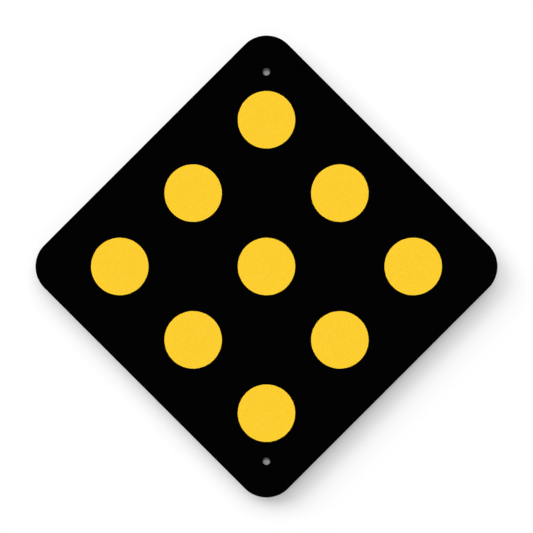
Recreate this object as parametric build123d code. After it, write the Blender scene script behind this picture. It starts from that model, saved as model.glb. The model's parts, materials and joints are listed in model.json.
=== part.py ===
from build123d import *
import os

# All sizes are in millimetres. The sign stands upright on its lower corner with its face towards -Y.
# The back of the blank lies at Y = 0 and its centre is the origin.

# Square blank, standing on one corner
side = 457.2
corner_radius = 40.6
blank_thickness = 2.03
edge_roll = 0.3            # radius that shearing and punching leave round the back edges
edge_break = 0.12          # bevel that takes the burr off the front edges

# Bolt holes on the upright centre line, one under each of the top and bottom corners
hole_diameter = 9.525
hole_setback = 48.2        # from the rounded tip of the corner to the hole's centre

# Black film over the whole front
film_thickness = 0.1
film_trim = 0.08           # bare metal between the film's edge and the bevel of the blank

# Nine round reflectors in rows that run along the sides of the blank
reflector_diameter = 76.2
row_margin = 91.0          # from each side of the blank to the centre line of the row beside it
backing_thickness = 0.1    # white sealing film with its adhesive
prism_thickness = 0.25     # yellow prismatic film

# Steps from the middle reflector along the rising and the falling side of the blank
reflector_steps = {
    "top": (1, -1),
    "upper_left": (0, -1),
    "upper_right": (1, 0),
    "left": (-1, -1),
    "centre": (0, 0),
    "right": (1, 1),
    "lower_left": (-1, 0),
    "lower_right": (0, 1),
    "bottom": (-1, 1),
}

# Film edges lie on flat metal, just inside the bevels of the blank and of its holes
film_inset = edge_break + film_trim

# The middle rows cross at the centre of the blank
reflector_pitch = side / 2 - row_margin

# Height of each layer's seat in front of the back of the blank
film_seat = blank_thickness
backing_seat = film_seat + film_thickness
prism_seat = backing_seat + backing_thickness

# Sketches are drawn as the sign is seen from the front: X to the right and Y up.
front_view = Plane.XZ
rising_side = Vector(1, 0, 0).rotate(Axis.Z, 45)
falling_side = Vector(1, 0, 0).rotate(Axis.Z, -45)


def diamond(inset):
    """Outline of the blank, drawn in by an inset."""
    width = side - 2 * inset
    return RectangleRounded(width, width, corner_radius - inset, rotation=45)


def hole_centres():
    """Centres of the top and bottom bolt holes, set back from the rounded tips."""
    tip_height = diamond(0).bounding_box().max.Y
    height = tip_height - hole_setback
    return [Pos(0, height), Pos(0, -height)]


def holes(growth):
    """The two bolt holes, widened all round by a growth."""
    return [centre * Circle(hole_diameter / 2 + growth) for centre in hole_centres()]


def layer(outline, seat, thickness):
    """A flat sheet of the given outline, lying on a seat at a height in front of the back of the blank."""
    return extrude(front_view.offset(seat) * outline, thickness)


def sign_blank():
    """Punched plate: rounded edges at the back, burr bevelled off at the front."""
    plate = layer(diamond(0) - holes(0), 0, blank_thickness)
    plate = chamfer(plate.faces().sort_by(Axis.Y)[0].edges(), edge_break)
    return fillet(plate.faces().sort_by(Axis.Y)[-1].edges(), edge_roll)


def black_face_film():
    """Black film over the flat of the front, cut clear of the bolt holes."""
    return layer(diamond(film_inset) - holes(film_inset), film_seat, film_thickness)


def reflector_outline(steps):
    """Round outline of the reflector at its place in the grid."""
    centre = (rising_side * steps[0] + falling_side * steps[1]) * reflector_pitch
    return Pos(centre.X, centre.Y) * Circle(reflector_diameter / 2)


def parts():
    """Every piece of the sign by name."""
    made = {"sign_blank": sign_blank(), "black_face_film": black_face_film()}
    for place, steps in reflector_steps.items():
        outline = reflector_outline(steps)
        made["reflector_backing_" + place] = layer(outline, backing_seat, backing_thickness)
        made["reflector_film_" + place] = layer(outline, prism_seat, prism_thickness)
    return made


os.makedirs("parts", exist_ok=True)
for name, shape in parts().items():
    export_step(shape, "parts/" + name + ".step")
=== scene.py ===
import json
import math

import bmesh
import bpy
from mathutils import Matrix, Vector


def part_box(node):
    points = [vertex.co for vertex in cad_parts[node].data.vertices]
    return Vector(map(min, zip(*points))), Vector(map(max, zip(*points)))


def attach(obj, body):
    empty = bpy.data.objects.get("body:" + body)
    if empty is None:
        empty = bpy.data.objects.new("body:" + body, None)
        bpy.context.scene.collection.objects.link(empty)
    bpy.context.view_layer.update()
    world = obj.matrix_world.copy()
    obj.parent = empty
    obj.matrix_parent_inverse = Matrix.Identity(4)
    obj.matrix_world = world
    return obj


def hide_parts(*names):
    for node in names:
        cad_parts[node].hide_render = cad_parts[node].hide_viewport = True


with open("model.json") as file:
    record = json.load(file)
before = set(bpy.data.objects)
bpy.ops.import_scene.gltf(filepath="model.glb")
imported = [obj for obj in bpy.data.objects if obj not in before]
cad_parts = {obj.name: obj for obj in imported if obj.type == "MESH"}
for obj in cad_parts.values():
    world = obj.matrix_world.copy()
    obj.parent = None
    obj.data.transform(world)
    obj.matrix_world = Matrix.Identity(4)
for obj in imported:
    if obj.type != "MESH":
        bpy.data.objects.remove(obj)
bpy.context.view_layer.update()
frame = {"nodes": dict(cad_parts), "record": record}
mm = 0.001
print("frame loaded:", len(frame["nodes"]), "nodes")

mountDims = {mount["name"]: mount["dims"] for mount in frame["record"]["mounts"]}
holeHeight = mountDims["post_bolts"]["spacing_y_mm"] / 2 * mm
holeRadius = mountDims["post_bolts"]["hole_r_mm"] * mm

# Sheets are drawn flat, face up, and then stood up so that the face looks towards -Y
standUp = Matrix.Rotation(math.radians(90), 3, "X")
origin = Vector((0, 0, 0))
hairline = 0.001 * mm             # a corner this near to a plane lies in it
flatTurn = 0.99                   # a face that looks this much along Y is flat
rimAngle = math.radians(60)       # faces that meet at more than this make a sharp rim


# Node helpers

def addNode(tree, kind, inputs=None, **settings):
    node = tree.nodes.new(kind)
    for name, value in settings.items():
        setattr(node, name, value)
    for name, value in (inputs or {}).items():
        if isinstance(value, bpy.types.NodeSocket):
            tree.links.new(value, node.inputs[name])
        else:
            node.inputs[name].default_value = value
    return node


def mathOut(tree, operation, *values):
    return addNode(tree, "ShaderNodeMath", dict(enumerate(values)), operation=operation).outputs[0]


def vectorOut(tree, operation, *values):
    node = addNode(tree, "ShaderNodeVectorMath", dict(enumerate(values)), operation=operation)
    return node.outputs["Value" if operation in ("DOT_PRODUCT", "LENGTH") else "Vector"]


def rangeOut(tree, value, fromLow, fromHigh, toLow, toHigh):
    ends = {"Value": value, "From Min": fromLow, "From Max": fromHigh, "To Min": toLow, "To Max": toHigh}
    return addNode(tree, "ShaderNodeMapRange", ends).outputs["Result"]


def blendOut(tree, factor, first, second, mode="MIX"):
    given = {0: factor, 6: first, 7: second}
    return addNode(tree, "ShaderNodeMix", given, data_type="RGBA", blend_type=mode).outputs[2]


def noiseOut(tree, vector, scale, detail, roughness=0.5, output="Fac"):
    given = {"Vector": vector, "Scale": scale, "Detail": detail, "Roughness": roughness}
    return addNode(tree, "ShaderNodeTexNoise", given).outputs[output]


def newGroup(name, inputs, outputs):
    tree = bpy.data.node_groups.new(name, "ShaderNodeTree")
    for label, kind in inputs.items():
        tree.interface.new_socket(label, in_out="INPUT", socket_type="NodeSocket" + kind)
    for label, kind in outputs.items():
        tree.interface.new_socket(label, in_out="OUTPUT", socket_type="NodeSocket" + kind)
    return tree, tree.nodes.new("NodeGroupInput").outputs, tree.nodes.new("NodeGroupOutput").inputs


def newMaterial(name, **constants):
    material = bpy.data.materials.new(name)
    material.use_nodes = True
    tree = material.node_tree
    shader = tree.nodes["Principled BSDF"]
    for label, value in constants.items():
        shader.inputs[label.replace("_", " ")].default_value = value
    return material, tree, shader


def objectCoords(tree):
    return addNode(tree, "ShaderNodeTexCoord").outputs["Object"]


# Effects that more than one finish uses. Each finish gives its own colours, scales and shares.

haze = {
    "fineScale": 13,              # how much finer the small blotches are than the broad ones
    "fineShare": 0.35,
    "noiseLow": 0.35,             # noise outside these two counts as full gloss or full haze
    "noiseHigh": 0.65,
}

flecks = {
    "raggedScale": 4,             # how fine the ragged outline is, in waves to a cell
    "raggedReach": 0.5,           # how far it strays, in cells
    "smallest": 0.08,             # radius in cells, with one fleck to a cell at most
    "largest": 0.3,
}

peel = {
    "waveLength": 18,             # how much longer the slow wave is than the ripple
    "waveHeight": 3,              # and how much higher
}


def makeHazeGroup():
    tree, given, made = newGroup(
        "surfaceHaze",
        {"Vector": "Vector", "Scale": "Float", "Low": "Float", "High": "Float"},
        {"Roughness": "Float"},
    )
    broad = noiseOut(tree, given["Vector"], given["Scale"], detail=4)
    fineScale = mathOut(tree, "MULTIPLY", given["Scale"], haze["fineScale"])
    fine = noiseOut(tree, given["Vector"], fineScale, detail=2)
    broadPart = mathOut(tree, "MULTIPLY", broad, 1 - haze["fineShare"])
    both = mathOut(tree, "MULTIPLY_ADD", fine, haze["fineShare"], broadPart)
    roughness = rangeOut(tree, both, haze["noiseLow"], haze["noiseHigh"], given["Low"], given["High"])
    tree.links.new(roughness, made["Roughness"])
    return tree


def makeMottleGroup():
    tree, given, made = newGroup(
        "filmMottle",
        {"Vector": "Vector", "Scale": "Float", "Dark Color": "Color", "Pale Color": "Color"},
        {"Color": "Color"},
    )
    blotches = noiseOut(tree, given["Vector"], given["Scale"], detail=3)
    tree.links.new(blendOut(tree, blotches, given["Dark Color"], given["Pale Color"]), made["Color"])
    return tree


def makeFleckGroup():
    tree, given, made = newGroup(
        "fineFlecks",
        {"Vector": "Vector", "Color": "Color", "Fleck Color": "Color", "Scale": "Float", "Share": "Float"},
        {"Color": "Color"},
    )
    sizes = {0: given["Vector"], 3: given["Scale"]}
    inCells = addNode(tree, "ShaderNodeVectorMath", sizes, operation="SCALE").outputs["Vector"]
    ragged = noiseOut(tree, inCells, flecks["raggedScale"], detail=2, output="Color")
    warped = vectorOut(tree, "MULTIPLY_ADD", ragged, (flecks["raggedReach"],) * 3, inCells)
    cells = addNode(tree, "ShaderNodeTexVoronoi", {"Vector": warped, "Scale": 1})
    draw = addNode(tree, "ShaderNodeSeparateColor", {"Color": cells.outputs["Color"]})
    chosen = mathOut(tree, "LESS_THAN", draw.outputs["Red"], given["Share"])
    radius = rangeOut(tree, draw.outputs["Green"], 0, 1, flecks["smallest"], flecks["largest"])
    inside = mathOut(tree, "LESS_THAN", cells.outputs["Distance"], radius)
    fleck = mathOut(tree, "MULTIPLY", mathOut(tree, "MULTIPLY", chosen, inside), draw.outputs["Blue"])
    tree.links.new(blendOut(tree, fleck, given["Color"], given["Fleck Color"]), made["Color"])
    return tree


def makePeelGroup():
    tree, given, made = newGroup("filmPeel", {"Vector": "Vector", "Scale": "Float"}, {"Height": "Float"})
    ripple = noiseOut(tree, given["Vector"], given["Scale"], detail=2)
    waveScale = mathOut(tree, "DIVIDE", given["Scale"], peel["waveLength"])
    wave = noiseOut(tree, given["Vector"], waveScale, detail=1)
    tree.links.new(mathOut(tree, "MULTIPLY_ADD", wave, peel["waveHeight"], ripple), made["Height"])
    return tree


hazeGroup = makeHazeGroup()
mottleGroup = makeMottleGroup()
fleckGroup = makeFleckGroup()
peelGroup = makePeelGroup()


def hazeOut(tree, vector, finish):
    given = {
        "Vector": vector, "Scale": finish["hazeScale"],
        "Low": finish["roughLow"], "High": finish["roughHigh"],
    }
    return addNode(tree, "ShaderNodeGroup", given, node_tree=hazeGroup).outputs["Roughness"]


def mottleOut(tree, vector, finish):
    given = {
        "Vector": vector, "Scale": finish["mottleScale"],
        "Dark Color": finish["dark"], "Pale Color": finish["pale"],
    }
    return addNode(tree, "ShaderNodeGroup", given, node_tree=mottleGroup).outputs["Color"]


def fleckOut(tree, vector, color, finish):
    given = {
        "Vector": vector, "Color": color, "Fleck Color": finish["fleck"],
        "Scale": finish["fleckScale"], "Share": finish["fleckShare"],
    }
    return addNode(tree, "ShaderNodeGroup", given, node_tree=fleckGroup).outputs["Color"]


def peelOut(tree, vector, finish):
    given = {"Vector": vector, "Scale": finish["peelScale"]}
    return addNode(tree, "ShaderNodeGroup", given, node_tree=peelGroup).outputs["Height"]


def bumpOut(tree, height, depth):
    return addNode(tree, "ShaderNodeBump", {"Height": height, "Distance": depth}).outputs["Normal"]


print("shared effects ready")


# Flat sheets with the outline of the sign

outline = {
    "side": 457.2 * mm,
    "turn": math.radians(45),     # the square stands on one corner
    "cornerRadius": 40.6 * mm,
    "cornerSteps": 48,
    "holeSteps": 64,
    "holePatch": 9 * mm,          # half width of the square of sheet worked into each round hole
    "mapWall": 0.008,             # share of the baked picture for its edges, less than a hole's radius
}


def cutSheet(bm, point, normal):
    everything = bm.verts[:] + bm.edges[:] + bm.faces[:]
    bmesh.ops.bisect_plane(bm, geom=everything, plane_co=point, plane_no=normal)


def punchHole(bm, height, radius):
    # a square patch is taken out, and its rim is joined to a circle with as many points
    centre = Vector((0, height, 0))
    steps = outline["holeSteps"]
    patch = min(bm.faces, key=lambda face: (face.calc_center_bounds() - centre).length)
    rim = patch.edges[:]
    bmesh.ops.delete(bm, geom=[patch], context="FACES_ONLY")
    split = bmesh.ops.subdivide_edges(bm, edges=rim, cuts=steps // 4 - 1)["geom_split"]
    squareEdges = [item for item in split if isinstance(item, bmesh.types.BMEdge)]
    toCorners = Matrix.Rotation(math.radians(45), 4, "Z")
    spot = Matrix.Translation(centre) @ toCorners
    circle = bmesh.ops.create_circle(bm, segments=steps, radius=radius, matrix=spot)
    circleEdges = list({edge for vert in circle["verts"] for edge in vert.link_edges})
    bmesh.ops.bridge_loops(bm, edges=squareEdges + circleEdges)


def diamondSheet(inset):
    bm = bmesh.new()
    bmesh.ops.create_grid(bm, x_segments=1, y_segments=1, size=outline["side"] / 2 - inset)
    bmesh.ops.bevel(
        bm, geom=bm.verts[:], offset=outline["cornerRadius"] - inset, affect="VERTICES",
        segments=outline["cornerSteps"], profile=0.5, material=-1,
    )
    bmesh.ops.rotate(bm, cent=origin, matrix=Matrix.Rotation(outline["turn"], 3, "Z"), verts=bm.verts)
    half = outline["holePatch"]
    for across in (-half, half):
        cutSheet(bm, (across, 0, 0), (1, 0, 0))
        cutSheet(bm, (0, holeHeight + across, 0), (0, 1, 0))
        cutSheet(bm, (0, -holeHeight + across, 0), (0, 1, 0))
    for height in (holeHeight, -holeHeight):
        punchHole(bm, height, holeRadius + inset)
    bmesh.ops.rotate(bm, cent=origin, matrix=standUp, verts=bm.verts)
    return bm


def thicken(bm, back, front):
    # the drawn sheet becomes the back, and its copy is drawn forward to the front
    bmesh.ops.translate(bm, vec=(0, back, 0), verts=bm.verts)
    grown = bmesh.ops.extrude_face_region(bm, geom=bm.faces[:], use_keep_orig=True)["geom"]
    fresh = [item for item in grown if isinstance(item, bmesh.types.BMVert)]
    bmesh.ops.translate(bm, vec=(0, front - back, 0), verts=fresh)
    bmesh.ops.recalc_face_normals(bm, faces=bm.faces)


def inPlane(item, depth):
    return all(abs(vert.co.y - depth) < hairline for vert in item.verts)


def rimEdges(bm, depth):
    flat = [edge for edge in bm.edges if inPlane(edge, depth) and edge.is_manifold]
    return [edge for edge in flat if edge.calc_face_angle() > rimAngle]


def roundRim(bm, depth, width, steps):
    bmesh.ops.bevel(
        bm, geom=rimEdges(bm, depth), offset=width, affect="EDGES", segments=steps, profile=0.5, material=-1
    )


# Each piece's own map for baked pictures, in shares of the picture's width

bakeMap = {
    "margin": 0.004,
    "hiddenSpot": 0.014,          # where the hidden face lies, in from the corner of the map
    "hiddenScale": 0.025,         # how much smaller than the shown face it is
}


def layBakeMap(bm, shown, hidden, centre, reach, turn, wall):
    # the shown face fills the map, the walls lie round it and the hidden face is small in a corner
    layer = bm.loops.layers.uv.new("OFBake")
    side = 1 if shown < hidden else -1
    spin = Matrix.Rotation(turn, 2)
    scale = (0.5 - bakeMap["margin"] - wall) / reach
    middle = Vector((0.5, 0.5))
    corner = Vector((bakeMap["hiddenSpot"], bakeMap["hiddenSpot"]))

    def flatten(vector):
        return spin @ Vector((side * vector.x, vector.z))

    bm.normal_update()
    for face in bm.faces:
        faceHidden = inPlane(face, hidden)
        for loop in face.loops:
            vert = loop.vert
            place = flatten(vert.co - centre) * scale
            if faceHidden:
                loop[layer].uv = corner + place * bakeMap["hiddenScale"]
            else:
                drop = (vert.co.y - shown) / (hidden - shown)
                loop[layer].uv = middle + place + flatten(vert.normal).normalized() * drop * wall


def finishPiece(bm, name, node, material):
    bm.normal_update()
    for face in bm.faces:
        face.smooth = abs(face.normal.y) < flatTurn
    for edge in bm.edges:
        edge.smooth = edge.calc_face_angle() < rimAngle
    mesh = bpy.data.meshes.new(name)
    bm.to_mesh(mesh)
    bm.free()
    mesh.materials.append(material)
    piece = bpy.data.objects.new(name, mesh)
    bpy.context.scene.collection.objects.link(piece)
    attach(piece, "root")
    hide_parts(node)


# Punched aluminium blank

blank = {
    "node": "sign_blank",
    "edgeRoll": 0.3 * mm,         # rounded by the shear at the back
    "rollSteps": 4,
    "edgeBreak": 0.12 * mm,       # burr taken off at the front
    "breakSteps": 1,
    "cutTurn": 0.3,               # the rounded edge counts as cut until it looks this much to the back
    "metal": (0.665, 0.675, 0.685, 1),
    "metalShade": (0.56, 0.57, 0.585, 1),
    "rollTurn": math.radians(45),  # the sheet was rolled along one side of the square
    "grainLength": 90,            # how much longer a rolling streak is than it is wide
    "grainScale": 900,
    "bandScale": 70,
    "grainShare": 0.6,            # the rest of a streak's tone comes from the broad bands
    "streakLow": 0.3,
    "streakHigh": 0.7,
    "streakRough": 0.16,
    "streakDepth": 0.02 * mm,
    "fleck": (0.47, 0.48, 0.49, 1),
    "fleckScale": 260,
    "fleckShare": 0.03,
    "hazeScale": 9,
    "roughLow": 0.3,
    "roughHigh": 0.44,
    "cutMetal": (0.20, 0.202, 0.205, 1),
    "brightDepth": 0.55 * mm,     # how far from the back the bright band of the cut reaches
    "tornDepth": 0.75 * mm,       # and where the dull torn one is full
    "tornRagged": 0.3 * mm,
    "brightDull": 0.5,            # how dull the bright band is, next to the torn one
    "tornRough": 0.22,
}


def makeRolledMetal():
    material, tree, shader = newMaterial("rolledMetal", Metallic=1.0)
    coords = objectCoords(tree)
    turn = {"Vector": coords, "Rotation": (0, blank["rollTurn"], 0)}
    turned = addNode(tree, "ShaderNodeMapping", turn).outputs["Vector"]
    stretch = {"Vector": turned, "Scale": (1 / blank["grainLength"], 1, 1)}
    along = addNode(tree, "ShaderNodeMapping", stretch).outputs["Vector"]
    grain = noiseOut(tree, along, blank["grainScale"], detail=3, roughness=0.6)
    bands = noiseOut(tree, along, blank["bandScale"], detail=2)
    bandPart = mathOut(tree, "MULTIPLY", bands, 1 - blank["grainShare"])
    streak = mathOut(tree, "MULTIPLY_ADD", grain, blank["grainShare"], bandPart)
    tone = rangeOut(tree, streak, blank["streakLow"], blank["streakHigh"], 0, 1)
    color = blendOut(tree, tone, blank["metalShade"], blank["metal"])
    color = fleckOut(tree, coords, color, blank)
    # the shear leaves a bright band at the back and a dull torn one in front of it
    cut = addNode(tree, "ShaderNodeAttribute", attribute_name="cutEdge").outputs["Fac"]
    depth = addNode(tree, "ShaderNodeSeparateXYZ", {0: coords}).outputs["Y"]
    ragged = mathOut(tree, "MULTIPLY_ADD", grain, blank["tornRagged"], depth)
    dull = rangeOut(tree, ragged, -blank["brightDepth"], -blank["tornDepth"], blank["brightDull"], 1)
    torn = mathOut(tree, "MULTIPLY", cut, dull)
    tree.links.new(blendOut(tree, torn, color, blank["cutMetal"]), shader.inputs["Base Color"])
    smoother = mathOut(tree, "SUBTRACT", hazeOut(tree, coords, blank), blank["streakRough"] / 2)
    rough = mathOut(tree, "MULTIPLY_ADD", streak, blank["streakRough"], smoother)
    rough = mathOut(tree, "MULTIPLY_ADD", torn, blank["tornRough"], rough)
    tree.links.new(rough, shader.inputs["Roughness"])
    tree.links.new(bumpOut(tree, streak, blank["streakDepth"]), shader.inputs["Normal"])
    return material


def markCutEdges(bm):
    layer = bm.faces.layers.float.new("cutEdge")
    bm.normal_update()
    for face in bm.faces:
        face[layer] = 1.0 if -flatTurn < face.normal.y < blank["cutTurn"] else 0.0


def makeBlank():
    low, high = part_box(blank["node"])
    bm = diamondSheet(0)
    thicken(bm, high.y, low.y)
    roundRim(bm, high.y, blank["edgeRoll"], blank["rollSteps"])
    roundRim(bm, low.y, blank["edgeBreak"], blank["breakSteps"])
    markCutEdges(bm)
    layBakeMap(bm, high.y, low.y, origin, outline["side"] / 2, outline["turn"], outline["mapWall"])
    finishPiece(bm, "punchedBlank", blank["node"], makeRolledMetal())


makeBlank()
print("blank punched")


# Black film over the whole face

blackFilm = {
    "node": "black_face_film",
    "inset": 0.2 * mm,            # from the edges of the blank and of its holes
    "dark": (0.0005, 0.0005, 0.0005, 1),
    "pale": (0.001, 0.001, 0.001, 1),
    "mottleScale": 35,
    "specular": 0.35,
    "fleck": (0.007, 0.007, 0.007, 1),
    "fleckScale": 480,
    "fleckShare": 0.03,
    "hazeScale": 12,
    "roughLow": 0.11,
    "roughHigh": 0.18,
    "peelScale": 700,
    "peelDepth": 0.03 * mm,
}


def makeBlackGloss():
    material, tree, shader = newMaterial("blackGloss", Specular_IOR_Level=blackFilm["specular"])
    coords = objectCoords(tree)
    color = fleckOut(tree, coords, mottleOut(tree, coords, blackFilm), blackFilm)
    tree.links.new(color, shader.inputs["Base Color"])
    tree.links.new(hazeOut(tree, coords, blackFilm), shader.inputs["Roughness"])
    height = peelOut(tree, coords, blackFilm)
    tree.links.new(bumpOut(tree, height, blackFilm["peelDepth"]), shader.inputs["Normal"])
    return material


def makeBlackFilm():
    low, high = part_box(blackFilm["node"])
    bm = diamondSheet(blackFilm["inset"])
    thicken(bm, high.y, low.y)
    layBakeMap(bm, low.y, high.y, origin, outline["side"] / 2, outline["turn"], outline["mapWall"])
    finishPiece(bm, "blackFaceSheet", blackFilm["node"], makeBlackGloss())


makeBlackFilm()
print("black film laid")


# Nine yellow reflectors, each a prismatic film on its white sealing film

reflector = {
    "rimSteps": 144,
    "cell": 4 * mm,               # across the flats of one sealed cell
    "turnStep": math.radians(37),  # each disc was cut with its cells turned by its own angle
    "mapWall": 0.016,             # share of the baked picture that its edge takes
}

prismFilm = {
    "edgeRound": 0.06 * mm,
    "edgeSteps": 2,
    "yellow": (0.975, 0.593, 0.015, 1),
    "sealYellow": (1.0, 0.66, 0.045, 1),
    "sealWidth": 0.09,            # half width of a seal line, as a share of the cell
    "sealBlur": 0.4,              # share of that width over which the line fades, each way
    "sealDip": 0.6,               # how far the line lies under the rest, in heights of the ripple
    "darkest": 0.96,
    "cellShade": 0.03,            # how much cells differ
    "facetPaintedGlint": 0.05,           # and the prisms in them, as a painted glint
    "facetScale": 9,              # prisms across one cell
    "specular": 0.4,
    "fleck": (0.84, 0.48, 0.012, 1),
    "fleckScale": 1.1,            # on the map of the cells
    "fleckShare": 0.02,
    "hazeScale": 20,
    "roughLow": 0.2,
    "roughHigh": 0.3,
    "peelScale": 700,
    "peelDepth": 0.008 * mm,
}

sealFilm = {
    "dark": (0.744, 0.744, 0.7254, 1),
    "pale": (0.80, 0.80, 0.78, 1),
    "mottleScale": 240,
    "hazeScale": 30,
    "roughLow": 0.45,
    "roughHigh": 0.6,
    "peelScale": 900,
    "peelDepth": 0.006 * mm,
}


def hexCells(tree, vector):
    # distance to the seal line, and a random draw for each honeycomb cell, of unit width
    period = (1, math.sqrt(3), 1)
    halfPeriod = tuple(part / 2 for part in period)
    minusHalf = tuple(-part for part in halfPeriod)
    first = vectorOut(tree, "WRAP", vector, halfPeriod, minusHalf)
    second = vectorOut(tree, "WRAP", vectorOut(tree, "ADD", vector, halfPeriod), halfPeriod, minusHalf)
    firstReach = vectorOut(tree, "DOT_PRODUCT", first, first)
    secondReach = vectorOut(tree, "DOT_PRODUCT", second, second)
    given = {0: mathOut(tree, "LESS_THAN", firstReach, secondReach), 4: second, 5: first}
    fromCentre = addNode(tree, "ShaderNodeMix", given, data_type="VECTOR").outputs[1]
    folded = vectorOut(tree, "ABSOLUTE", fromCentre)
    slant = vectorOut(tree, "DOT_PRODUCT", folded, (0.5, math.sqrt(3) / 2, 0))
    straight = addNode(tree, "ShaderNodeSeparateXYZ", {0: folded}).outputs["X"]
    toLine = mathOut(tree, "SUBTRACT", 0.5, mathOut(tree, "MAXIMUM", slant, straight))
    # the centre is rounded off, so that all of a cell gets the same draw
    centre = vectorOut(tree, "ADD", vectorOut(tree, "SUBTRACT", vector, fromCentre), (0.25, 0.25, 0))
    spot = vectorOut(tree, "SNAP", centre, (0.5, 0.5, 1))
    draw = addNode(tree, "ShaderNodeTexWhiteNoise", {"Vector": spot}, noise_dimensions="2D")
    return toLine, draw.outputs["Value"]


def makePrismYellow():
    material, tree, shader = newMaterial("prismYellow", Specular_IOR_Level=prismFilm["specular"])
    ownMap = addNode(tree, "ShaderNodeUVMap", uv_map="cellMap").outputs["UV"]
    toLine, draw = hexCells(tree, ownMap)
    sealStart = prismFilm["sealWidth"] * (1 - prismFilm["sealBlur"])
    sealEnd = prismFilm["sealWidth"] * (1 + prismFilm["sealBlur"])
    seal = rangeOut(tree, toLine, sealStart, sealEnd, 1, 0)
    facets = addNode(tree, "ShaderNodeTexVoronoi", {"Vector": ownMap, "Scale": prismFilm["facetScale"]})
    # each prism gets its own random brightness in the colour: a painted glint
    paintedGlint = addNode(tree, "ShaderNodeSeparateColor", {"Color": facets.outputs["Color"]}).outputs["Red"]
    shade = mathOut(tree, "MULTIPLY_ADD", paintedGlint, prismFilm["facetPaintedGlint"], prismFilm["darkest"])
    shade = mathOut(tree, "MULTIPLY_ADD", draw, prismFilm["cellShade"], shade)
    parts = {"Red": shade, "Green": shade, "Blue": shade}
    grey = addNode(tree, "ShaderNodeCombineColor", parts).outputs["Color"]
    yellow = blendOut(tree, seal, prismFilm["yellow"], prismFilm["sealYellow"])
    color = blendOut(tree, 1.0, yellow, grey, mode="MULTIPLY")
    tree.links.new(fleckOut(tree, ownMap, color, prismFilm), shader.inputs["Base Color"])
    coords = objectCoords(tree)
    tree.links.new(hazeOut(tree, coords, prismFilm), shader.inputs["Roughness"])
    height = mathOut(tree, "MULTIPLY_ADD", seal, -prismFilm["sealDip"], peelOut(tree, coords, prismFilm))
    tree.links.new(bumpOut(tree, height, prismFilm["peelDepth"]), shader.inputs["Normal"])
    return material


def makeSealWhite():
    material, tree, shader = newMaterial("sealWhite")
    coords = objectCoords(tree)
    tree.links.new(mottleOut(tree, coords, sealFilm), shader.inputs["Base Color"])
    tree.links.new(hazeOut(tree, coords, sealFilm), shader.inputs["Roughness"])
    height = peelOut(tree, coords, sealFilm)
    tree.links.new(bumpOut(tree, height, sealFilm["peelDepth"]), shader.inputs["Normal"])
    return material


def mapCells(bm, centre, turn):
    # the cell pattern lies in the plane of each disc, in units of one cell
    layer = bm.loops.layers.uv.new("cellMap")
    spin = Matrix.Rotation(turn, 2)
    for face in bm.faces:
        for loop in face.loops:
            fromCentre = loop.vert.co - centre
            loop[layer].uv = spin @ Vector((fromCentre.x, fromCentre.z)) / reflector["cell"]


def makeDisc(node, name, material, turn, edgeRound=0):
    low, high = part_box(node)
    centre = (low + high) / 2
    radius = (high.x - low.x) / 2
    bm = bmesh.new()
    bmesh.ops.create_circle(bm, cap_ends=True, segments=reflector["rimSteps"], radius=radius)
    bmesh.ops.rotate(bm, cent=origin, matrix=standUp, verts=bm.verts)
    bmesh.ops.translate(bm, vec=(centre.x, 0, centre.z), verts=bm.verts)
    thicken(bm, high.y, low.y)
    if edgeRound:
        roundRim(bm, low.y, edgeRound, prismFilm["edgeSteps"])
    mapCells(bm, centre, turn)
    layBakeMap(bm, low.y, high.y, centre, radius, 0, reflector["mapWall"])
    finishPiece(bm, name, node, material)


def makeReflectors():
    prismYellow = makePrismYellow()
    sealWhite = makeSealWhite()
    films = sorted(node for node in frame["nodes"] if node.startswith("reflector_film_"))
    for number, node in enumerate(films):
        place = node.removeprefix("reflector_film_")
        turn = number * reflector["turnStep"]
        makeDisc(node, "prismDisc_" + place, prismYellow, turn, prismFilm["edgeRound"])
        makeDisc("reflector_backing_" + place, "sealDisc_" + place, sealWhite, turn)
    return len(films)


reflectorCount = makeReflectors()
print("reflectors laid:", reflectorCount)


# White studio: a backdrop just behind the sign, a pale floor and soft lamps

studio = {
    "backdropGap": 20 * mm,       # from the back of the sign to the backdrop
    "backdropHalf": 0.75,
    "backdropLift": 0.246,        # what the camera sees of the paper beyond its lit colour
    "shadedReach": 0.36,          # half diagonal of the diamond of backdrop behind the sign
    "white": (0.787, 0.787, 0.787, 1),
    "paperIor": 1.45,
    "padGap": 0.5 * mm,           # from the back of the sign to the grey pad behind each hole
    "padHalf": 14 * mm,
    # the pads' grey is painted shade, darker than the backdrop that would show through the holes
    "paintedShadeGrey": (0.156, 0.161, 0.168, 1),
    "floorHeight": -0.38,
    "floorHalf": 8.0,
    "floorLift": 0.31,
    "floorNear": 0.7,             # the floor takes light and shade up to here
    "floorFar": 2.2,              # and is plain white from here on
    "ambient": 0.295,
}

# Cards are seen only in reflections
cards = {
    "darkCard": {"tone": 0.003, "half": 3.8, "place": (0, -3.4, 0), "facing": (0, 1, 0)},
    "greyCard": {"tone": 0.2, "half": 3.6, "place": (0, 2.6, -4.4), "facing": (0, -1, 0)},
}

# Lamps are seen only by rough surfaces: gloss shows the white room and its cards
lamps = {
    "leftLight": {"strength": 1.795, "spread": math.radians(40), "toward": (-1.53, -1, 1.02)},
    "topLight": {"strength": 1.871, "spread": math.radians(65), "toward": (0, -1, 0.8)},
}

# A harder light falls on the pads alone, so that the upper edge of each hole shades its pad crisply
padLight = {"strength": 3.56, "spread": math.radians(8), "toward": (0, -1, 1.3)}


def turnTo(facing):
    return Vector(facing).to_track_quat("Z", "Y").to_euler()


def stageSheet(name, half, material):
    bm = bmesh.new()
    bmesh.ops.create_grid(bm, x_segments=1, y_segments=1, size=half)
    mesh = bpy.data.meshes.new(name)
    bm.to_mesh(mesh)
    bm.free()
    mesh.materials.append(material)
    sheet = bpy.data.objects.new(name, mesh)
    bpy.context.scene.collection.objects.link(sheet)
    return sheet


def hideFrom(sheet, *kinds):
    for kind in kinds:
        setattr(sheet, "visible_" + kind, False)


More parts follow.
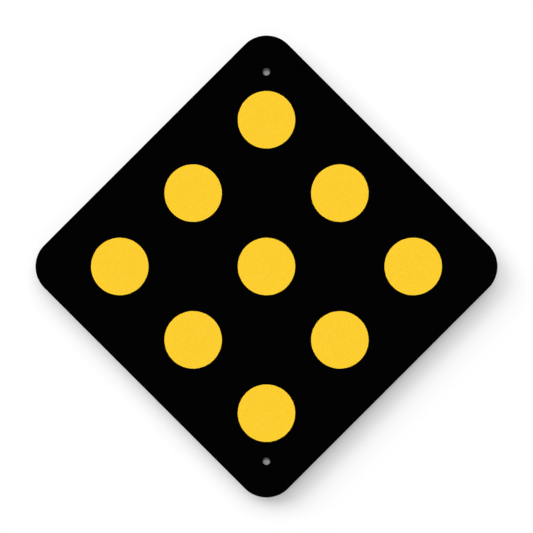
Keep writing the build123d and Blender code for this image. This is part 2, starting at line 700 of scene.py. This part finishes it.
def emptyMaterial(name):
    material = bpy.data.materials.new(name)
    material.use_nodes = True
    tree = material.node_tree
    tree.nodes.remove(tree.nodes["Principled BSDF"])
    return material, tree, tree.nodes["Material Output"].inputs["Surface"]


def mixShaders(tree, factor, first, second):
    return addNode(tree, "ShaderNodeMixShader", {0: factor, 1: first, 2: second}).outputs[0]


def paperOut(tree, lift):
    # white to the camera, and black to light on its way between the paper and the back of the sign
    fromCamera = addNode(tree, "ShaderNodeLightPath").outputs["Is Camera Ray"]
    color = blendOut(tree, fromCamera, (0, 0, 0, 1), studio["white"])
    lit = addNode(tree, "ShaderNodeBsdfDiffuse", {"Color": color}).outputs[0]
    shown = mathOut(tree, "MULTIPLY", fromCamera, lift)
    glow = addNode(tree, "ShaderNodeEmission", {"Strength": shown}).outputs[0]
    return addNode(tree, "ShaderNodeAddShader", {0: lit, 1: glow}).outputs[0]


def makeBackdrop():
    material, tree, surface = emptyMaterial("backdropWhite")
    matt = paperOut(tree, studio["backdropLift"])
    # satin paper: seen along its surface it shows the white room, and no shadow
    satin = addNode(tree, "ShaderNodeFresnel", {"IOR": studio["paperIor"]}).outputs[0]
    gloss = addNode(tree, "ShaderNodeBsdfGlossy", {"Color": (1, 1, 1, 1), "Roughness": 0.0}).outputs[0]
    paper = mixShaders(tree, satin, matt, gloss)
    # solid only from the front, to the camera and to light scattered behind the sign,
    # so that the back of the sign stays in the open
    clear = addNode(tree, "ShaderNodeBsdfTransparent").outputs[0]
    behind = addNode(tree, "ShaderNodeNewGeometry").outputs["Backfacing"]
    path = addNode(tree, "ShaderNodeLightPath").outputs
    spread = vectorOut(tree, "DOT_PRODUCT", vectorOut(tree, "ABSOLUTE", objectCoords(tree)), (1, 1, 0))
    shaded = mathOut(tree, "LESS_THAN", spread, studio["shadedReach"])
    scattered = mathOut(tree, "MULTIPLY", shaded, mathOut(tree, "GREATER_THAN", path["Diffuse Depth"], 0.5))
    inFront = mathOut(tree, "SUBTRACT", 1, behind)
    seen = mathOut(tree, "MULTIPLY", mathOut(tree, "MAXIMUM", path["Is Camera Ray"], scattered), inFront)
    tree.links.new(mixShaders(tree, seen, clear, paper), surface)
    sheet = stageSheet("backdrop", studio["backdropHalf"], material)
    sheet.location = (0, studio["backdropGap"], 0)
    sheet.rotation_euler = turnTo((0, -1, 0))


def makeHoleShadePads():
    # what shows through the bolt holes: a grey sheet of painted shade from the front, and nothing from
    # behind
    material, tree, surface = emptyMaterial("paintedShadeGrey")
    grey = addNode(tree, "ShaderNodeBsdfDiffuse", {"Color": studio["paintedShadeGrey"]}).outputs[0]
    clear = addNode(tree, "ShaderNodeBsdfTransparent").outputs[0]
    behind = addNode(tree, "ShaderNodeNewGeometry").outputs["Backfacing"]
    tree.links.new(mixShaders(tree, behind, grey, clear), surface)
    pads = bpy.data.collections.new("holeShadePads")
    for name, height in (("upperPad", holeHeight), ("lowerPad", -holeHeight)):
        pad = stageSheet(name, studio["padHalf"], material)
        pad.location = (0, studio["padGap"], height)
        pad.rotation_euler = turnTo((0, -1, 0))
        hideFrom(pad, "diffuse", "glossy", "transmission", "shadow")
        pads.objects.link(pad)
    return pads


def makeFloor():
    # diffuse white round the sign, so that it keeps the shadow, and plain white further out
    material, tree, surface = emptyMaterial("paleFloor")
    glow = addNode(tree, "ShaderNodeEmission", {"Strength": 1.0}).outputs[0]
    reach = vectorOut(tree, "LENGTH", objectCoords(tree))
    far = rangeOut(tree, reach, studio["floorNear"], studio["floorFar"], 0, 1)
    tree.links.new(mixShaders(tree, far, paperOut(tree, studio["floorLift"]), glow), surface)
    sheet = stageSheet("floor", studio["floorHalf"], material)
    sheet.location = (0, 0, studio["floorHeight"])
    hideFrom(sheet, "diffuse", "glossy", "shadow")


def makeCard(name, tone, half, place, facing):
    material, tree, surface = emptyMaterial(name)
    tree.links.new(addNode(tree, "ShaderNodeEmission", {"Strength": tone}).outputs[0], surface)
    card = stageSheet(name, half, material)
    card.location = place
    card.rotation_euler = turnTo(facing)
    hideFrom(card, "camera", "diffuse", "shadow")


def makeWorld():
    # the room is white to the camera, to gloss and through glass, and otherwise only a dim fill
    world = bpy.data.worlds.new("whiteRoom")
    bpy.context.scene.world = world
    world.use_nodes = True
    tree = world.node_tree
    path = addNode(tree, "ShaderNodeLightPath").outputs
    shown = mathOut(tree, "MAXIMUM", path["Is Camera Ray"], path["Is Glossy Ray"])
    shown = mathOut(tree, "MAXIMUM", shown, path["Is Transmission Ray"])
    strength = rangeOut(tree, shown, 0, 1, studio["ambient"], 1.0)
    background = tree.nodes["Background"]
    background.inputs["Color"].default_value = (1, 1, 1, 1)
    tree.links.new(strength, background.inputs["Strength"])


def makeLamp(name, strength, spread, toward, receivers=None):
    light = bpy.data.lights.new(name, "SUN")
    light.energy = strength
    light.angle = spread
    light.cycles.use_multiple_importance_sampling = False
    lamp = bpy.data.objects.new(name, light)
    lamp.rotation_euler = turnTo(toward)
    hideFrom(lamp, "glossy")
    lamp.light_linking.receiver_collection = receivers      # none means everything
    bpy.context.scene.collection.objects.link(lamp)


makeBackdrop()
holeShadePads = makeHoleShadePads()
makeFloor()
for cardName, card in cards.items():
    makeCard(cardName, **card)
makeWorld()
for lampName, lamp in lamps.items():
    makeLamp(lampName, **lamp)
makeLamp("padLight", **padLight, receivers=holeShadePads)
print("studio lit")


# Camera square on to the face, as in the photograph

view = {
    "lens": 100,
    "sensor": 36,
    "frameWidth": 707.0 * mm,     # what the picture spans at the black face
}


def makeCamera():
    camera = bpy.data.cameras.new("photoCamera")
    camera.lens = view["lens"]
    camera.sensor_width = view["sensor"]
    eye = bpy.data.objects.new("photoCamera", camera)
    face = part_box(blackFilm["node"])[0].y
    eye.location = (0, face - view["frameWidth"] * view["lens"] / view["sensor"], 0)
    eye.rotation_euler = (math.radians(90), 0, 0)
    bpy.context.scene.collection.objects.link(eye)
    bpy.context.scene.camera = eye


makeCamera()
bpy.context.scene.view_settings.view_transform = "Standard"
print("camera set")
